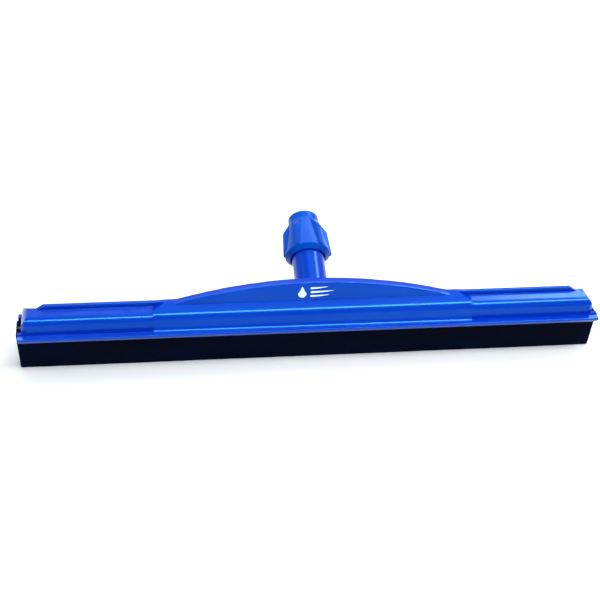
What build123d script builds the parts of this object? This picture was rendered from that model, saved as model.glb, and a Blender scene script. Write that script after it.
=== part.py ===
from build123d import *

import os
from math import cos, radians, sin

# Floor squeegee head: a moulded channel that holds a double blade of foam rubber, with a leaning
# socket that clamps a handle by a screw nut over a split ring.
# Millimetres. +X runs along the blades, +Y points to the handle's side, +Z is up.
# The origin is the middle of the front blade's lower edge, where the head rests on the floor.

os.makedirs("parts", exist_ok=True)

# Lengths along the blades
lip_length = 550.0
blade_root_length = 553.0
blade_edge_length = 548.0
casing_length = 543.0
cavity_length = 528.0
rib_length = 500.0
pad_length = 302.0

# Channel section, as half widths from the middle and heights above the blades' lower edge
channel_half_width = 13.5
casing_half_width = 16.5
shoulder_half_width = 16.2
lip_half_width = 24.0
lip_foot_half_width = 21.5
lip_bottom = 34.5
lip_top = 39.3
lip_nose = 37.7
lip_root = 40.3
front_shoulder_height = 54.4
rear_shoulder_height = 50.4
roof_height = 58.6
channel_top = 52.0
shoulder_radius = 8.5
casing_end_radius = 14.0
casing_corner_radius = 6.0
cavity_end_radius = 6.0
ledge = 1.2
lip_edge_radius = 0.7
ridge_heights = (37.5, 41.8)
ridge_depth = 0.8
ridge_width = 1.6

# Low rib along the roof
rib_top = 62.5
rib_width = 4.0
rib_end_slope = 9.0
rib_edge_radius = 1.3

# Thicker middle length of the casing
pad_skin = 0.6
pad_front_shoulder = 55.0
pad_rear_shoulder = 52.5
pad_shoulder_radius = 10.0
pad_flare_start = 45.0
pad_ramp_length = 14.0

# Arch that stands over the middle of the rib
arch_top = 79.5
arch_half_span = 127.0
arch_front = -6.0
arch_back = 4.0
arch_edge_radius = 1.6

# Blades and the core strip between them
blade_top = 44.5
blade_taper_start = 36.0
blade_gap_start = 30.0
blade_root_half_width = 13.4
blade_edge_outer = 8.0
blade_edge_inner = 0.8
blade_clearance = 0.5
core_half_width = 2.1
core_bottom = 31.0
core_teeth = (35.0, 39.5)

# Handle socket: a tilted axis, with distances along it counted from its foot on the middle plane
socket_tilt = 64.0
socket_foot_height = 59.3
handle_radius = 12.0
bore_end = 14.0
neck_start = 2.0
neck_radius_low = 15.2
neck_radius_high = 15.7
neck_shoulder = 50.0
neck_end = 72.0
slot_width = 3.0
slot_length = 15.5
web_thickness = 4.0

# Screw thread of the neck and the nut
pitch = 4.0
thread_core_radius = 14.5
thread_crest_radius = 15.8
thread_clearance = 0.35
thread_base_width = 2.0
thread_crest_width = 1.2
thread_root_sink = 0.3
neck_thread_start = 54.0
neck_thread_turns = 3.5
nut_thread_start = 52.0
nut_thread_turns = 4.0

# Clamp nut, with distances along the socket axis
nut_bottom = 45.5
nut_foot_radius = 17.6
nut_top = 93.5
body_bottom = 49.0
body_radius_low = 21.6
body_radius_high = 15.2
cap_bottom = 84.5
cap_radius = 14.7
cap_edge_radius = 1.7
wing_radius = 23.4
wing_top_radius = 21.6
wing_top = 74.5
wing_shoulder_radius = 4.0
wing_tip_width = 2.6
wing_root_width = 8.6
wing_root_radius = 14.0
wings = 6
nut_mouth_radius = 12.8
snap_ridge = (70.6, 71.9)
snap_ridge_radius = 14.85

# Split clamp ring inside the nut
ring_bottom = 72.4
ring_top = 82.6
ring_bore_radius = 12.4
ring_low_radius = 15.3
ring_high_radius = 13.4
ring_clearance = 0.35
ring_split = 2.5
tongue_length = 14.0
tongue_width = 2.4
tongue_outer_radius = 14.0

blade_middle = (blade_edge_outer + blade_edge_inner) / 2
# Across the channel: sketch X is the distance from its middle plane, sketch Y the height.
across_channel = Plane((0, blade_middle, 0), x_dir=(0, 1, 0), z_dir=(1, 0, 0))
# The channel's middle plane: sketch X runs along the blades, sketch Y is the height.
along_channel = Plane((0, blade_middle, 0), x_dir=(1, 0, 0), z_dir=(0, -1, 0))

tilt = radians(socket_tilt)
socket_foot = Vector(0, blade_middle, socket_foot_height)
socket_direction = Vector(0, sin(tilt), cos(tilt))
socket_axis = Axis(socket_foot, socket_direction)
# Across the socket: local Z runs along the socket axis, local X along the blades.
across_socket = Plane(socket_foot, x_dir=(1, 0, 0), z_dir=socket_direction)
# Along the socket: sketch X is the distance from the axis, sketch Y the distance along it.
along_socket = Plane(socket_foot, x_dir=(1, 0, 0), z_dir=(0, -cos(tilt), sin(tilt)))


def socket_point(distance):
    """Point on the socket axis at a distance from its foot."""
    return socket_foot + socket_direction * distance


def thread_ridge(radius, start, turns, depth):
    """Helical ridge that stands out of a wall: outwards for a positive depth, inwards for a negative one."""
    helix = Helix(pitch, turns * pitch, radius, center=socket_point(start), direction=socket_direction)
    outward = (helix @ 0 - socket_point(start)).normalized()
    sink = -thread_root_sink if depth > 0 else thread_root_sink
    with BuildPart(mode=Mode.PRIVATE) as ridge:
        with BuildSketch(Plane(helix @ 0, x_dir=outward, z_dir=helix % 0)):
            with BuildLine():
                Polyline(
                    (sink, -thread_base_width / 2),
                    (depth, -thread_crest_width / 2),
                    (depth, thread_crest_width / 2),
                    (sink, thread_base_width / 2),
                    close=True,
                )
            make_face()
        sweep(path=helix, is_frenet=True)
    return ridge.part


def cavity_space(clearance):
    """Room for the blades: high inside the casing, low and slanting where they run out between the lips."""
    run_out_top = lip_top - clearance
    with BuildPart(mode=Mode.PRIVATE) as space:
        with BuildSketch(along_channel):
            RectangleRounded(cavity_length - 2 * clearance, 2 * (channel_top - clearance), cavity_end_radius)
            Polygon(
                (-blade_edge_length / 2, 0),
                (blade_edge_length / 2, 0),
                (blade_root_length / 2, run_out_top),
                (-blade_root_length / 2, run_out_top),
                align=None,
            )
        extrude(amount=lip_half_width, both=True)
    return space.part


# Thicker middle of the casing, which runs up to the rib's top and out to the lips' edges.
with BuildPart() as centre_pad:
    for side, shoulder in ((-1, pad_front_shoulder), (1, pad_rear_shoulder)):
        with BuildSketch(across_channel):
            with BuildLine():
                Polyline(
                    (0, lip_nose),
                    (0, rib_top),
                    (side * rib_width / 2, rib_top),
                    (side * (shoulder_half_width + pad_skin), shoulder),
                    (side * (casing_half_width + pad_skin), pad_flare_start),
                )
                TangentArc(
                    (side * (casing_half_width + pad_skin), pad_flare_start),
                    (side * (lip_half_width - 0.6), lip_top - 0.1),
                    tangent=(0, -1),
                )
                Polyline(
                    (side * (lip_half_width - 0.6), lip_top - 0.1),
                    (side * (lip_half_width - 0.6), lip_nose),
                    (0, lip_nose),
                )
            make_face()
        extrude(amount=pad_length / 2, both=True)
    pad_corners = centre_pad.edges().filter_by(Axis.X).filter_by(
        lambda edge: pad_rear_shoulder - 0.01 < edge.center().Z < pad_front_shoulder + 0.01
    )
    fillet(pad_corners, radius=pad_shoulder_radius)
    with BuildSketch(along_channel):
        with BuildLine():
            Polyline(
                (-pad_length / 2, 0),
                (-pad_length / 2, roof_height - 1),
                (-pad_length / 2 + pad_ramp_length, rib_top + 0.1),
                (pad_length / 2 - pad_ramp_length, rib_top + 0.1),
                (pad_length / 2, roof_height - 1),
                (pad_length / 2, 0),
                close=True,
            )
        make_face()
    extrude(amount=lip_half_width, both=True, mode=Mode.INTERSECT)

# Rib along the roof, with sloping ends and rounded edges.
with BuildPart() as roof_rib:
    with BuildSketch(along_channel):
        with BuildLine():
            Polyline(
                (-rib_length / 2 - rib_end_slope, channel_top + 1),
                (-rib_length / 2 - rib_end_slope, roof_height - 2),
                (-rib_length / 2, rib_top),
                (rib_length / 2, rib_top),
                (rib_length / 2 + rib_end_slope, roof_height - 2),
                (rib_length / 2 + rib_end_slope, channel_top + 1),
                close=True,
            )
        make_face()
    extrude(amount=rib_width / 2, both=True)
    rib_edges = roof_rib.edges().filter_by(Axis.X).filter_by(
        lambda edge: abs(edge.center().Z - rib_top) < 0.01
    )
    fillet(rib_edges, radius=rib_edge_radius)

# Arch: a thick wall with a circular crest and rounded edges.
with BuildPart() as arch:
    arch_rise = arch_top - rib_top
    arch_radius = (arch_half_span**2 + arch_rise**2) / (2 * arch_rise)
    with BuildSketch(along_channel.offset(-arch_front)):
        with Locations((0, arch_top - arch_radius)):
            Circle(arch_radius)
        with Locations((0, channel_top + 2)):
            Rectangle(
                2 * arch_radius,
                2 * arch_radius,
                align=(Align.CENTER, Align.MAX),
                mode=Mode.SUBTRACT,
            )
    extrude(amount=-(arch_back - arch_front))
    fillet(arch.edges().filter_by(GeomType.CIRCLE), radius=arch_edge_radius)

# Channel for the blades, closed at the casing's ends but open between the lips.
with BuildPart() as channel_cavity:
    with BuildSketch(across_channel):
        with BuildLine():
            Polyline(
                (-channel_half_width, 0),
                (-channel_half_width, channel_top - 4),
                (-channel_half_width + 3.5, channel_top),
                (3, channel_top),
                (channel_half_width, blade_top + 0.7),
                (channel_half_width, 0),
                close=True,
            )
        make_face()
    extrude(amount=lip_length / 2 + 1, both=True)
    add(cavity_space(0), mode=Mode.INTERSECT)

with BuildPart() as holder_body:
    # Casing with rounded shoulders, and ends rounded both from above and from the side.
    with BuildSketch(across_channel):
        with BuildLine():
            Polyline(
                (-casing_half_width, lip_bottom),
                (-shoulder_half_width, front_shoulder_height),
                (0, roof_height),
                (shoulder_half_width, rear_shoulder_height),
                (casing_half_width, lip_bottom),
                close=True,
            )
        make_face()
    extrude(amount=casing_length / 2, both=True)
    shoulders = holder_body.edges().filter_by(Axis.X).filter_by(
        lambda edge: rear_shoulder_height - 0.01 < edge.center().Z < front_shoulder_height + 0.01
    )
    fillet(shoulders, radius=shoulder_radius)
    with BuildSketch(along_channel):
        RectangleRounded(casing_length, 2 * roof_height, casing_end_radius)
    extrude(amount=lip_half_width, both=True, mode=Mode.INTERSECT)
    with BuildSketch(Plane.XY):
        with Locations((0, blade_middle)):
            RectangleRounded(casing_length, 2 * casing_half_width, casing_corner_radius)
    extrude(amount=roof_height, mode=Mode.INTERSECT)

    # Lips along both sides of the channel's mouth, with ends that curve up to a tip like a boat's bow.
    with BuildSketch(across_channel):
        with BuildLine():
            Polyline(
                (channel_half_width, lip_bottom),
                (lip_foot_half_width, lip_bottom),
                (lip_half_width, lip_nose),
                (lip_half_width, lip_top),
                (casing_half_width + ledge, lip_root),
                (casing_half_width + ledge, lip_root + ledge),
                (channel_half_width, lip_root + ledge),
                close=True,
            )
        lip_face = make_face()
        fillet(lip_face.vertices().group_by(Axis.X)[-1], radius=lip_edge_radius)
        mirror(about=Plane.YZ)
    extrude(amount=lip_length / 2, both=True)
    with BuildSketch(along_channel):
        with BuildLine():
            TangentArc(
                (casing_length / 2, lip_bottom),
                (lip_length / 2, lip_top - 0.6),
                tangent=(1, 0),
            )
            Polyline(
                (lip_length / 2, lip_top - 0.6),
                (lip_length / 2 + 2, lip_top - 0.6),
                (lip_length / 2 + 2, lip_bottom - 2),
                (casing_length / 2, lip_bottom - 2),
                (casing_length / 2, lip_bottom),
            )
        make_face()
        mirror(about=Plane.YZ)
    extrude(amount=lip_half_width + 1, both=True, mode=Mode.SUBTRACT)

    add(roof_rib.part)
    add(centre_pad.part)
    add(arch.part)

    # Neck, which leans to the handle's side and ends in a thinner threaded core.
    with BuildSketch(along_socket):
        with BuildLine():
            Polyline(
                (0, neck_start),
                (neck_radius_low, neck_start),
                (neck_radius_high, neck_shoulder),
                (thread_core_radius, neck_shoulder),
                (thread_core_radius, neck_end),
                (0, neck_end),
                close=True,
            )
        make_face()
    revolve(axis=socket_axis)

    # Web under the neck, down to the lip behind it.
    web_reach = socket_direction * neck_shoulder * 0.7
    with BuildSketch(across_channel):
        with BuildLine():
            Polyline(
                (channel_half_width + 1, lip_bottom + 2),
                (lip_half_width - 1.5, lip_bottom + 2),
                (web_reach.Y, socket_foot_height + web_reach.Z),
                (channel_half_width + 1, socket_foot_height),
                close=True,
            )
        make_face()
    extrude(amount=web_thickness / 2, both=True)

    add(channel_cavity.part, mode=Mode.SUBTRACT)

    # Small ridges on the channel's walls that bite into the foam.
    for height in ridge_heights:
        with BuildSketch(across_channel):
            with BuildLine():
                Polyline(
                    (channel_half_width + 0.5, height - ridge_width / 2),
                    (channel_half_width - ridge_depth, height),
                    (channel_half_width + 0.5, height + ridge_width / 2),
                    close=True,
                )
            make_face()
            mirror(about=Plane.YZ)
        extrude(amount=cavity_length / 2 - 3, both=True)

    # Handle bore with a chamfered mouth, and two slots for the clamp ring's tongues.
    with BuildSketch(along_socket):
        with BuildLine():
            Polyline(
                (0, bore_end),
                (handle_radius, bore_end),
                (handle_radius, neck_end - 0.6),
                (handle_radius + 0.6, neck_end + 0.01),
                (0, neck_end + 0.01),
                close=True,
            )
        make_face()
    revolve(axis=socket_axis, mode=Mode.SUBTRACT)

    add(thread_ridge(thread_core_radius, neck_thread_start, neck_thread_turns,
                     thread_crest_radius - thread_core_radius))
    with BuildSketch(across_socket.offset(neck_end - slot_length)):
        Rectangle(2 * (thread_crest_radius + 1), slot_width)
    extrude(amount=slot_length + 1, mode=Mode.SUBTRACT)

holder_body.part.label = "holder_body"
export_step(holder_body.part, "parts/holder_body.step")

# Front blade; the rear one is its mirror image.
with BuildPart() as front_foam_blade:
    with BuildSketch(across_channel):
        with BuildLine():
            Polyline(
                (-blade_root_half_width, blade_top),
                (-blade_root_half_width, blade_taper_start),
                (-blade_edge_outer, 0),
                (-blade_edge_inner, 0),
                (-core_half_width, blade_gap_start),
                (-core_half_width, blade_top),
                close=True,
            )
        make_face()
    extrude(amount=blade_root_length / 2, both=True)
    add(cavity_space(blade_clearance), mode=Mode.INTERSECT)

front_foam_blade.part.label = "front_foam_blade"
export_step(front_foam_blade.part, "parts/front_foam_blade.step")

with BuildPart() as rear_foam_blade:
    add(front_foam_blade.part)
    mirror(about=along_channel, mode=Mode.REPLACE)

rear_foam_blade.part.label = "rear_foam_blade"
export_step(rear_foam_blade.part, "parts/rear_foam_blade.step")

# Core strip: a thin web with saw teeth that spreads the blades against the channel's walls.
with BuildPart() as core_strip:
    with BuildSketch(across_channel):
        with BuildLine():
            Polyline(
                (0, core_bottom),
                (core_half_width - 1, core_bottom),
                (core_half_width - 0.1, core_bottom + 3),
                (core_half_width - 0.1, blade_top),
                (0, blade_top),
                close=True,
            )
        make_face()
        for height in core_teeth:
            with BuildLine():
                Polyline(
                    (core_half_width - 0.6, height),
                    (core_half_width + ridge_depth, height),
                    (core_half_width - 0.6, height + 3),
                    close=True,
                )
            make_face()
        mirror(about=Plane.YZ)
    extrude(amount=blade_root_length / 2, both=True)
    add(cavity_space(blade_clearance), mode=Mode.INTERSECT)

core_strip.part.label = "core_strip"
export_step(core_strip.part, "parts/core_strip.step")

# Clamp ring: a split cone with two tongues that slide in the neck's slots.
with BuildPart() as clamp_ring:
    with BuildSketch(along_socket):
        with BuildLine():
            Polyline(
                (ring_bore_radius, ring_bottom),
                (ring_low_radius, ring_bottom),
                (ring_low_radius, ring_bottom + 1.2),
                (ring_high_radius, ring_top),
                (ring_bore_radius, ring_top),
                close=True,
            )
        make_face()
    revolve(axis=socket_axis)
    with BuildSketch(across_socket.offset(ring_bottom - tongue_length)):
        Rectangle(2 * tongue_outer_radius, tongue_width)
        Circle(ring_bore_radius + 0.05, mode=Mode.SUBTRACT)
    extrude(amount=tongue_length + 1)
    with BuildSketch(across_socket.offset(ring_bottom - 1)):
        with Locations((0, ring_low_radius)):
            Rectangle(ring_split, ring_low_radius)
    extrude(amount=ring_top - ring_bottom + 2, mode=Mode.SUBTRACT)

clamp_ring.part.label = "clamp_ring"
export_step(clamp_ring.part, "parts/clamp_ring.step")

# Wings of the clamp nut: tapering blades that stand out of its body, with sloping shoulders.
with BuildPart() as nut_wings:
    with BuildSketch(along_socket):
        with BuildLine():
            Polyline(
                (nut_mouth_radius, body_bottom),
                (wing_radius - 0.8, body_bottom),
                (wing_radius, body_bottom + 0.8),
                (wing_top_radius, wing_top),
                (cap_radius + 0.3, cap_bottom),
                (nut_mouth_radius, cap_bottom),
                close=True,
            )
        wing_face = make_face()
        fillet(wing_face.vertices().sort_by_distance((wing_top_radius, wing_top))[0],
               radius=wing_shoulder_radius)
    revolve(axis=socket_axis)
    with BuildSketch(across_socket.offset(body_bottom - 1)):
        with PolarLocations(0, wings):
            Polygon(
                (0, -wing_root_width / 2),
                (wing_root_radius, -wing_root_width / 2),
                (wing_radius + 1, -wing_tip_width / 2),
                (wing_radius + 1, wing_tip_width / 2),
                (wing_root_radius, wing_root_width / 2),
                (0, wing_root_width / 2),
                align=None,
            )
    extrude(amount=nut_top - body_bottom, mode=Mode.INTERSECT)

# Clamp nut: a conical body with wings, a narrower cap above, a cone and a thread inside.
with BuildPart() as clamp_nut:
    with BuildSketch(along_socket):
        with BuildLine():
            Polyline(
                (0, nut_bottom),
                (nut_foot_radius, nut_bottom),
                (body_radius_low, body_bottom),
                (body_radius_low, body_bottom + 1),
                (body_radius_high, cap_bottom),
                (cap_radius, cap_bottom + 1),
                (cap_radius, nut_top - cap_edge_radius),
            )
            TangentArc(
                (cap_radius, nut_top - cap_edge_radius),
                (cap_radius - cap_edge_radius, nut_top),
                tangent=(0, 1),
            )
            Polyline((cap_radius - cap_edge_radius, nut_top), (0, nut_top), (0, nut_bottom))
        make_face()
    revolve(axis=socket_axis)
    add(nut_wings.part)

    thread_bore_radius = thread_crest_radius + thread_clearance
    with BuildSketch(along_socket):
        with BuildLine():
            Polyline(
                (0, nut_bottom - 0.01),
                (thread_bore_radius + 0.6, nut_bottom - 0.01),
                (thread_bore_radius, nut_bottom + 0.6),
                (thread_bore_radius, snap_ridge[0] - 1),
                (snap_ridge_radius, snap_ridge[0]),
                (snap_ridge_radius, snap_ridge[1]),
                (ring_low_radius + ring_clearance, snap_ridge[1]),
                (ring_low_radius + ring_clearance, ring_bottom + 1.2),
                (ring_high_radius + ring_clearance, ring_top + ring_clearance),
                (nut_mouth_radius, ring_top + ring_clearance),
                (nut_mouth_radius, nut_top + 0.01),
                (0, nut_top + 0.01),
                close=True,
            )
        make_face()
    revolve(axis=socket_axis, mode=Mode.SUBTRACT)
    add(thread_ridge(thread_bore_radius, nut_thread_start, nut_thread_turns,
                     thread_core_radius - thread_crest_radius))

clamp_nut.part.label = "clamp_nut"
export_step(clamp_nut.part, "parts/clamp_nut.step")
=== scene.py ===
from math import copysign, cos, pi, radians, sin, sqrt, tan

import bmesh
import bpy
from mathutils import Matrix, Vector, noise


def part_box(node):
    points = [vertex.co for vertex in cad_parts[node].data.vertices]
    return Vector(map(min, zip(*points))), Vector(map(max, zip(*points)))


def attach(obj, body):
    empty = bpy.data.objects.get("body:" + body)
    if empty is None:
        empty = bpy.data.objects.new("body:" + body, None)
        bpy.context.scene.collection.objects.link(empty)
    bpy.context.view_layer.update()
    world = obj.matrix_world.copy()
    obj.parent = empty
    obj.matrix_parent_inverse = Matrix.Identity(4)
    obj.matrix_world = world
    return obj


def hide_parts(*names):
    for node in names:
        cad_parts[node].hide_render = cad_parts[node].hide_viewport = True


# Floor squeegee head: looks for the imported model. Metres, in the frame of the CAD model: +X along the
# blades, +Y to the handle's side, +Z up, origin in the middle of the front blade's lower edge.

MM = 0.001
CHANNEL_MIDDLE = 4.4 * MM

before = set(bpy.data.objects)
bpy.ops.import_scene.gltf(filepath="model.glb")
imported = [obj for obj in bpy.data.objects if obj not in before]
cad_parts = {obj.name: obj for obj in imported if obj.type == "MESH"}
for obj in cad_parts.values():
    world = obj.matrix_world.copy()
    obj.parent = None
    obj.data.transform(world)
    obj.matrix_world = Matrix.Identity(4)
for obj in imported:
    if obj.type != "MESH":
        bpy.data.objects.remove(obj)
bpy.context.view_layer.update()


# Shader nodes

class Shader:
    """A procedural material: a Principled shader whose colour, roughness and normal are built from noises."""

    def __init__(self, name, roughness, **constants):
        self.material = bpy.data.materials.new(name)
        self.material.use_nodes = True
        self.tree = self.material.node_tree
        self.surface = self.tree.nodes["Principled BSDF"]
        self.surface.inputs["Roughness"].default_value = roughness
        for socket, value in constants.items():
            self.surface.inputs[socket.replace("_", " ")].default_value = value
        self.place = self.tree.nodes.new("ShaderNodeTexCoord").outputs["Object"]

    def link(self, source, target):
        self.tree.links.new(source, target)

    def scaled(self, stretch):
        """The object's coordinates, stretched by a factor along each axis."""
        mapping = self.tree.nodes.new("ShaderNodeMapping")
        mapping.inputs["Scale"].default_value = stretch
        self.link(self.place, mapping.inputs["Vector"])
        return mapping.outputs["Vector"]

    def noise(self, scale, detail=3.0, rough=0.5, stretch=(1, 1, 1)):
        node = self.tree.nodes.new("ShaderNodeTexNoise")
        node.inputs["Scale"].default_value = scale
        node.inputs["Detail"].default_value = detail
        node.inputs["Roughness"].default_value = rough
        self.link(self.scaled(stretch), node.inputs["Vector"])
        return node.outputs["Fac"]

    def cells(self, scale, stretch=(1, 1, 1)):
        """Distance from the middle of the nearest cell, for pores."""
        node = self.tree.nodes.new("ShaderNodeTexVoronoi")
        node.inputs["Scale"].default_value = scale
        self.link(self.scaled(stretch), node.inputs["Vector"])
        return node.outputs["Distance"]

    def ramp(self, value, low, high, start=0.0, end=1.0):
        """value between low and high, mapped to start and end."""
        node = self.tree.nodes.new("ShaderNodeMapRange")
        node.inputs["From Min"].default_value = low
        node.inputs["From Max"].default_value = high
        node.inputs["To Min"].default_value = start
        node.inputs["To Max"].default_value = end
        self.link(value, node.inputs["Value"])
        return node.outputs["Result"]

    def mix(self, factor, first, second):
        """A colour between two colours or colour outputs."""
        node = self.tree.nodes.new("ShaderNodeMix")
        node.data_type = "RGBA"
        self.link(factor, node.inputs["Factor"])
        for socket, colour in (("A", first), ("B", second)):
            target = [s for s in node.inputs if s.name == socket and s.type == "RGBA"][0]
            if isinstance(colour, tuple):
                target.default_value = (*colour, 1)
            else:
                self.link(colour, target)
        return [s for s in node.outputs if s.type == "RGBA"][0]

    def bump(self, height, distance, strength=1.0, under=None):
        node = self.tree.nodes.new("ShaderNodeBump")
        node.inputs["Distance"].default_value = distance
        node.inputs["Strength"].default_value = strength
        self.link(height, node.inputs["Height"])
        if under is not None:
            self.link(under, node.inputs["Normal"])
        return node.outputs["Normal"]

    def colour(self, output):
        self.link(output, self.surface.inputs["Base Color"])

    def roughness(self, output):
        self.link(output, self.surface.inputs["Roughness"])

    def normal(self, output):
        self.link(output, self.surface.inputs["Normal"])


# Materials

BLUE_DEEP = (0.000, 0.016, 0.29)
BLUE_LIGHT = (0.000, 0.027, 0.36)
NUT_DEEP = (0.000, 0.044, 0.33)
NUT_LIGHT = (0.000, 0.062, 0.41)
GLOSS_TINT = (0.07, 0.45, 1.0, 1.0)
RUBBER_DEEP = (0.0003, 0.0014, 0.008)
RUBBER_DUST = (0.0012, 0.0042, 0.020)
# Painted shade for the foam's pores: the rubber is darker where the pores dent it.
RUBBER_PORE_SHADE = (0.0002, 0.0006, 0.003)
CORE_DEEP = (0.008, 0.009, 0.011)
CORE_LIGHT = (0.02, 0.021, 0.024)
RING_DEEP = (0.62, 0.60, 0.55)
RING_LIGHT = (0.74, 0.72, 0.67)
INK_THIN = (0.50, 0.62, 0.86)
INK_FULL = (0.70, 0.78, 0.92)
FLOOR_DEEP = (0.64, 0.64, 0.635)
FLOOR_LIGHT = (0.67, 0.67, 0.665)


def moulded_plastic(name, deep, light, gloss, matt, shine):
    """Injection moulded polypropylene: cloudy pigment, uneven gloss, orange peel, fine rubbed scratches."""
    shader = Shader(name, gloss, IOR=1.49, Specular_IOR_Level=shine, Specular_Tint=GLOSS_TINT)
    cloud = shader.noise(14, detail=4, stretch=(0.35, 1, 1))
    pigment = shader.mix(shader.ramp(cloud, 0.3, 0.7), deep, light)
    rubbed = shader.noise(260, detail=5, rough=0.7, stretch=(0.06, 1, 1))
    scuffs = shader.ramp(rubbed, 0.62, 0.8)
    chalky = (0.01, light[1] + 0.05, light[2] + 0.05)
    shader.colour(shader.mix(shader.ramp(scuffs, 0, 1, 0, 0.3), pigment, chalky))
    shader.roughness(shader.ramp(shader.noise(90, detail=4, rough=0.65), 0.35, 0.7, gloss, matt))
    waves = shader.bump(shader.noise(38, detail=1, stretch=(0.5, 1, 1)), 0.6 * MM, 0.22)
    peel = shader.bump(shader.noise(900, detail=2), 0.05 * MM, 0.5, under=waves)
    shader.normal(shader.bump(rubbed, 0.02 * MM, 0.3, under=peel))
    return shader.material


def cellular_rubber(name):
    """Closed-cell foam rubber: blue-black, dull, with a skin of fine pores, which carry painted shade, and a
    few larger open cells.
    """
    shader = Shader(name, 0.8, IOR=1.5, Specular_IOR_Level=0.03)
    dust = shader.noise(55, detail=6, rough=0.65, stretch=(0.4, 1, 1))
    body = shader.mix(shader.ramp(dust, 0.4, 0.75), RUBBER_DEEP, RUBBER_DUST)
    pores = shader.ramp(shader.cells(1500), 0.0, 0.55)
    # The pores get a darker colour: painted shade in the same dents that the bump below makes.
    shader.colour(shader.mix(pores, RUBBER_PORE_SHADE, body))
    shader.roughness(shader.ramp(dust, 0.3, 0.8, 0.66, 0.9))
    skin = shader.bump(shader.noise(160, detail=3), 0.5 * MM, 0.35)
    cells = shader.bump(pores, 0.12 * MM, 0.8, under=skin)
    shader.normal(shader.bump(shader.ramp(shader.cells(420), 0.0, 0.18), 0.1 * MM, 0.5, under=cells))
    return shader.material


def matt_plastic(name, deep, light, matt):
    """Plain technical plastic: faint mottling, a fine grain, low gloss."""
    shader = Shader(name, matt, IOR=1.5)
    mottle = shader.noise(120, detail=5, rough=0.6)
    shader.colour(shader.mix(shader.ramp(mottle, 0.35, 0.7), deep, light))
    shader.roughness(shader.ramp(mottle, 0.3, 0.75, matt - 0.1, matt + 0.1))
    shader.normal(shader.bump(shader.noise(1100, detail=3), 0.05 * MM, 0.6))
    return shader.material


def printing_ink(name):
    """White printed ink: a thin matt film with a slightly uneven deposit."""
    shader = Shader(name, 0.5, IOR=1.45)
    deposit = shader.noise(700, detail=5, rough=0.7)
    shader.colour(shader.mix(shader.ramp(deposit, 0.35, 0.6), INK_THIN, INK_FULL))
    shader.roughness(shader.ramp(deposit, 0.3, 0.7, 0.42, 0.58))
    shader.normal(shader.bump(deposit, 0.02 * MM, 0.5))
    return shader.material


holder_blue = moulded_plastic("holder_polypropylene", BLUE_DEEP, BLUE_LIGHT, gloss=0.15, matt=0.25, shine=1.0)
nut_blue = moulded_plastic("nut_polypropylene", NUT_DEEP, NUT_LIGHT, gloss=0.28, matt=0.38, shine=0.45)
foam_black = cellular_rubber("cellular_rubber")
core_black = matt_plastic("core_strip_plastic", CORE_DEEP, CORE_LIGHT, matt=0.6)
ring_white = matt_plastic("clamp_ring_plastic", RING_DEEP, RING_LIGHT, matt=0.5)
ink_white = printing_ink("printing_ink")

for node_name, node_material in (
    ("holder_body", holder_blue),
    ("clamp_nut", nut_blue),
    ("clamp_ring", ring_white),
    ("core_strip", core_black),
):
    node_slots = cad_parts[node_name].data.materials
    node_slots.clear()
    node_slots.append(node_material)


# Mesh helpers

def mesh_piece(name, build, body, material):
    """A new mesh object, filled in by build(bm), that rides on a body."""
    bm = bmesh.new()
    build(bm)
    bmesh.ops.recalc_face_normals(bm, faces=bm.faces)
    mesh = bpy.data.meshes.new(name)
    bm.to_mesh(mesh)
    bm.free()
    mesh.shade_smooth()
    piece = bpy.data.objects.new(name, mesh)
    bpy.context.scene.collection.objects.link(piece)
    mesh.materials.append(material)
    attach(piece, body)
    return piece


CORNER_STEPS = 5


def rounded_outline(corners, spacing):
    """Closed outline through corners (y, z, radius), with arcs at the corners and points along the sides."""
    outline = []
    count = len(corners)
    for i, (y, z, radius) in enumerate(corners):
        corner = Vector((y, z))
        back = (Vector(corners[i - 1][:2]) - corner).normalized()
        ahead = (Vector(corners[(i + 1) % count][:2]) - corner).normalized()
        half_angle = back.angle(ahead) / 2
        middle = corner + (back + ahead).normalized() * (radius / sin(half_angle))
        first = corner + back * (radius / tan(half_angle))
        last = corner + ahead * (radius / tan(half_angle))
        turn = (last - middle).angle_signed(first - middle)
        for step in range(CORNER_STEPS + 1):
            spoke = (first - middle).copy()
            spoke.rotate(Matrix.Rotation(turn * step / CORNER_STEPS, 2))
            outline.append(middle + spoke)
    dense = []
    for i, point in enumerate(outline):
        following = outline[(i + 1) % len(outline)]
        pieces = max(1, round((following - point).length / spacing))
        dense.extend(point.lerp(following, k / pieces) for k in range(pieces))
    return dense


# Foam blades: each follows its CAD solid, with eased edges, slow waves along its free edge and soft ends.

# Section corners as (distance from the channel's middle, height, rounding), all in mm.
BLADE_CORNERS = (
    (13.4, 44.3, 1.0),
    (13.4, 36.0, 12.0),
    (8.0, 0.02, 1.0),
    (0.8, 0.02, 0.7),
    (2.1, 30.0, 8.0),
    (2.1, 44.3, 1.0),
)
OUTLINE_SPACING = 2.6 * MM
HIGH_PART_STEPS = 200

# The part inside the channel is high. Past it, both ends run out lower, under the casing's closed ends:
# there, SQUEEZE is what is left of the height above SQUEEZE_START.
HIGH_PART_END = 263.3 * MM
RUN_OUT_SECTIONS = (8, 3, 0.2)
SQUEEZE_START = 36.5 * MM
SQUEEZE = 0.27
RUN_OUT_TOP = 38.8 * MM

# The ends are eased by (distance from the end, inset), in mm, and slant in towards the floor.
END_EASING = ((0.0, 0.9), (0.25, 0.35), (0.8, 0.0))
END_SLANT = 2.5 * MM

# Waves fade out from the free edge up to the root. Their rates are noise periods per metre.
ROOT_HEIGHT = 34 * MM
WAVE_DEPTH = 0.45 * MM
WAVE_DEPTH_RATE = 9
WAVE_HEIGHT = 0.35 * MM
WAVE_HEIGHT_RATE = 24


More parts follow.
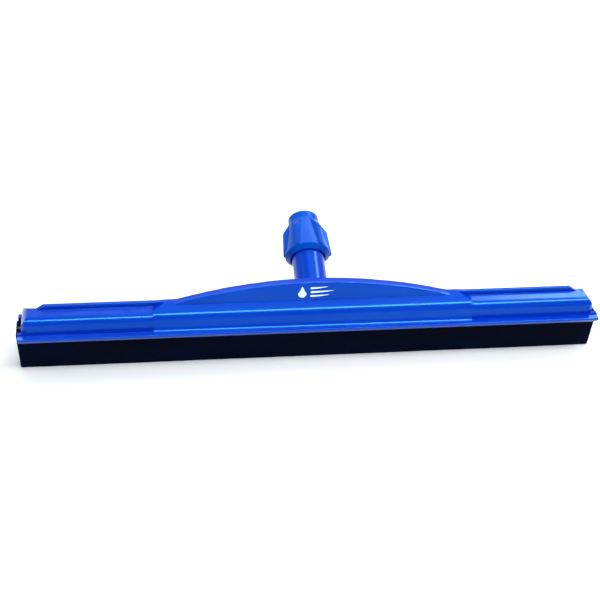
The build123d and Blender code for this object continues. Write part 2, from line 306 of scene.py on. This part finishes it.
def blade_stations(left_end):
    """The sections along a blade, from its left end to its right one, as (x, inset)."""
    left = [(left_end + along * MM, inset * MM) for along, inset in END_EASING]
    left += [(-HIGH_PART_END - along * MM, 0) for along in RUN_OUT_SECTIONS]
    high_part = [(HIGH_PART_END * (2 * k / HIGH_PART_STEPS - 1), 0) for k in range(HIGH_PART_STEPS + 1)]
    return left + high_part + [(-x, inset) for x, inset in reversed(left)]


def foam_blade(name, node, side):
    """One blade: side is -1 for the front blade and 1 for the rear one."""
    low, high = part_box(node)
    outline = rounded_outline(
        [(CHANNEL_MIDDLE + side * y * MM, z * MM, radius * MM) for y, z, radius in BLADE_CORNERS],
        OUTLINE_SPACING,
    )
    centre = sum(outline, Vector((0, 0))) / len(outline)

    def placed(x, inset, point):
        """The place of one outline point in the section at x."""
        inward = (centre - point).normalized() * inset
        freedom = max(0.0, 1 - point.y / ROOT_HEIGHT)
        sway = noise.noise(Vector((x * WAVE_DEPTH_RATE, side * 4, 0)))
        lift = abs(noise.noise(Vector((x * WAVE_HEIGHT_RATE, side * 7, 3))))
        y = point.x + inward.x + sway * WAVE_DEPTH * freedom
        z = point.y + inward.y + lift * WAVE_HEIGHT * freedom
        run_out = max(0.0, (abs(x) - HIGH_PART_END) / (high.x - HIGH_PART_END))
        if run_out > 0 and z > SQUEEZE_START:
            z = SQUEEZE_START + (z - SQUEEZE_START) * SQUEEZE
        slant = END_SLANT * max(0.0, 1 - z / RUN_OUT_TOP) * run_out
        return copysign(abs(x) - slant, x), y, max(z, 0.0)

    def build(bm):
        rings = [
            [bm.verts.new(placed(x, inset, point)) for point in outline]
            for x, inset in blade_stations(low.x)
        ]
        for first, second in zip(rings, rings[1:]):
            for i in range(len(outline)):
                j = (i + 1) % len(outline)
                bm.faces.new((first[i], first[j], second[j], second[i]))
        for ring in (rings[0], rings[-1]):
            bmesh.ops.triangulate(bm, faces=[bm.faces.new(ring)], ngon_method="EAR_CLIP")

    blade = mesh_piece(name, build, "holder", foam_black)
    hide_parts(node)
    return blade


foam_blade("front_foam", "front_foam_blade", -1)
foam_blade("rear_foam", "rear_foam_blade", 1)


# Printed emblem on the front of the arch: a water drop beside three wiped streaks.

ARCH_FRONT = -1.6 * MM
EMBLEM_HEIGHT = 69.2 * MM
INK_FILM = 0.12 * MM
INK_ROOT = 0.05 * MM

DROP_PLACE = (-11.5 * MM, EMBLEM_HEIGHT - 1.5 * MM)
DROP_RADIUS = 4.0 * MM
DROP_TIP = 3.4 * MM
DROP_NARROWING = 0.55
DROP_POINTS = 40

STREAKS_LEFT = -4.5 * MM
STREAK_LENGTHS = (19 * MM, 23 * MM, 17 * MM)
STREAK_STEP = 4.2 * MM
STREAK_THICKNESS = 2.1 * MM
STREAK_BEND = 1.2 * MM
STREAK_START = 1 / 12
STREAK_TAPER = 0.6
STREAK_STEPS = 24


def ink_patch(bm, outline):
    """A flat patch of ink on the arch's front face, from an outline of (x, z) points."""
    front = [bm.verts.new((x, ARCH_FRONT - INK_FILM, z)) for x, z in outline]
    back = [bm.verts.new((x, ARCH_FRONT + INK_ROOT, z)) for x, z in outline]
    cap = bm.faces.new(front)
    for i in range(len(outline)):
        j = (i + 1) % len(outline)
        bm.faces.new((front[i], front[j], back[j], back[i]))
    bmesh.ops.triangulate(bm, faces=[cap], ngon_method="EAR_CLIP")


def drop_outline(x, z):
    """A drop: a round belly that narrows to a tip above it."""
    points = []
    for step in range(DROP_POINTS):
        angle = 2 * pi * step / DROP_POINTS - pi / 2
        rise = max(0.0, sin(angle))
        width = DROP_RADIUS * cos(angle) * (1 - DROP_NARROWING * rise)
        points.append((x + width, z + DROP_RADIUS * sin(angle) + DROP_TIP * rise**3))
    return points


def streak_outline(x, z, length):
    """A streak bent upwards: it is round over its first twelfth and tapers to a point."""
    upper = []
    lower = []
    for step in range(STREAK_STEPS + 1):
        along = step / STREAK_STEPS
        half = STREAK_THICKNESS / 2 * sqrt(min(1.0, along / STREAK_START)) * (1 - along) ** STREAK_TAPER
        height = z + STREAK_BEND * along * along
        upper.append((x + length * along, height + half))
        lower.append((x + length * along, height - half))
    return upper[1:-1] + lower[-1:] + lower[-2:0:-1]


def build_emblem(bm):
    ink_patch(bm, drop_outline(*DROP_PLACE))
    lowest = EMBLEM_HEIGHT - STREAK_STEP
    for row, length in enumerate(STREAK_LENGTHS):
        ink_patch(bm, streak_outline(STREAKS_LEFT, lowest + row * STREAK_STEP, length))


emblem = mesh_piece("printed_emblem", build_emblem, "holder", ink_white)
emblem.data.shade_flat()


# Floor, lights and camera

FLOOR_HALF_WIDTH = 6
FLOOR_GAP = 0.2 * MM
BELOW_ARCH = (0, 0, 0.05)
RIGHT_LENGTH = (0.25, 0, 0.05)


def stage_floor():
    shader = Shader("floor_paint", 0.55)
    tone = shader.noise(3, detail=3)
    shader.colour(shader.mix(shader.ramp(tone, 0.3, 0.7), FLOOR_DEEP, FLOOR_LIGHT))
    bm = bmesh.new()
    bmesh.ops.create_grid(bm, x_segments=1, y_segments=1, size=FLOOR_HALF_WIDTH)
    mesh = bpy.data.meshes.new("floor")
    bm.to_mesh(mesh)
    bm.free()
    floor = bpy.data.objects.new("floor", mesh)
    mesh.materials.append(shader.material)
    floor.location.z = -FLOOR_GAP
    bpy.context.scene.collection.objects.link(floor)


def soft_light(name, place, target, size, power, spread=180):
    """An area light. A smaller spread, in degrees, keeps its light closer to the way it faces."""
    light = bpy.data.lights.new(name, "AREA")
    light.shape = "RECTANGLE"
    light.size, light.size_y = size
    light.energy = power
    light.spread = radians(spread)
    lamp = bpy.data.objects.new(name, light)
    lamp.location = place
    lamp.rotation_mode = "QUATERNION"
    lamp.rotation_quaternion = (Vector(target) - Vector(place)).to_track_quat("-Z", "Y")
    bpy.context.scene.collection.objects.link(lamp)


def stage_world(colour, strength):
    world = bpy.data.worlds.new("studio")
    world.use_nodes = True
    background = world.node_tree.nodes["Background"]
    background.inputs["Color"].default_value = (*colour, 1)
    background.inputs["Strength"].default_value = strength
    bpy.context.scene.world = world


def stage_camera():
    """The viewpoint: in front of the head and a little to its left, looking down on it."""
    azimuth, elevation, roll = radians(-8.94), radians(30.04), radians(2.45)
    distance = 1.300
    lens = 82.8
    aim = Vector((-0.0125, CHANNEL_MIDDLE, 0.0576))
    back = Vector((sin(azimuth) * cos(elevation), -cos(azimuth) * cos(elevation), sin(elevation)))
    right = Vector((cos(azimuth), sin(azimuth), 0))
    up = back.cross(right)
    rolled_right = right * cos(roll) + up * sin(roll)
    rolled_up = up * cos(roll) - right * sin(roll)
    camera = bpy.data.objects.new("camera", bpy.data.cameras.new("camera"))
    camera.data.lens = lens
    camera.matrix_world = Matrix.Translation(aim + back * distance) @ Matrix(
        (rolled_right, rolled_up, back)
    ).transposed().to_4x4()
    bpy.context.scene.collection.objects.link(camera)
    bpy.context.scene.camera = camera


stage_floor()
stage_world((0.74, 0.87, 1.0), 0.7)
soft_light("key_box", (0.30, -0.62, 1.35), BELOW_ARCH, (1.7, 0.26), 30)
soft_light("overhead", (0.2, 0.1, 1.7), BELOW_ARCH, (1.6, 0.9), 4)
soft_light("left_fill", (-1.4, -0.5, 0.9), BELOW_ARCH, (0.5, 0.5), 3)
soft_light("right_box", (0.75, 0.45, 1.1), RIGHT_LENGTH, (0.6, 0.35), 5)
soft_light("back_wash", (0.3, 2.6, 1.8), (0.3, 2.4, 0), (3.4, 2.6), 80, spread=100)
soft_light("left_wash", (-2.8, 0.3, 1.8), (-2.8, 0.3, 0), (2.4, 3.4), 60, spread=100)
soft_light("right_wash", (2.8, 0.3, 1.8), (2.8, 0.3, 0), (2.4, 3.4), 60, spread=100)
stage_camera()
bpy.context.scene.view_settings.view_transform = "Standard"
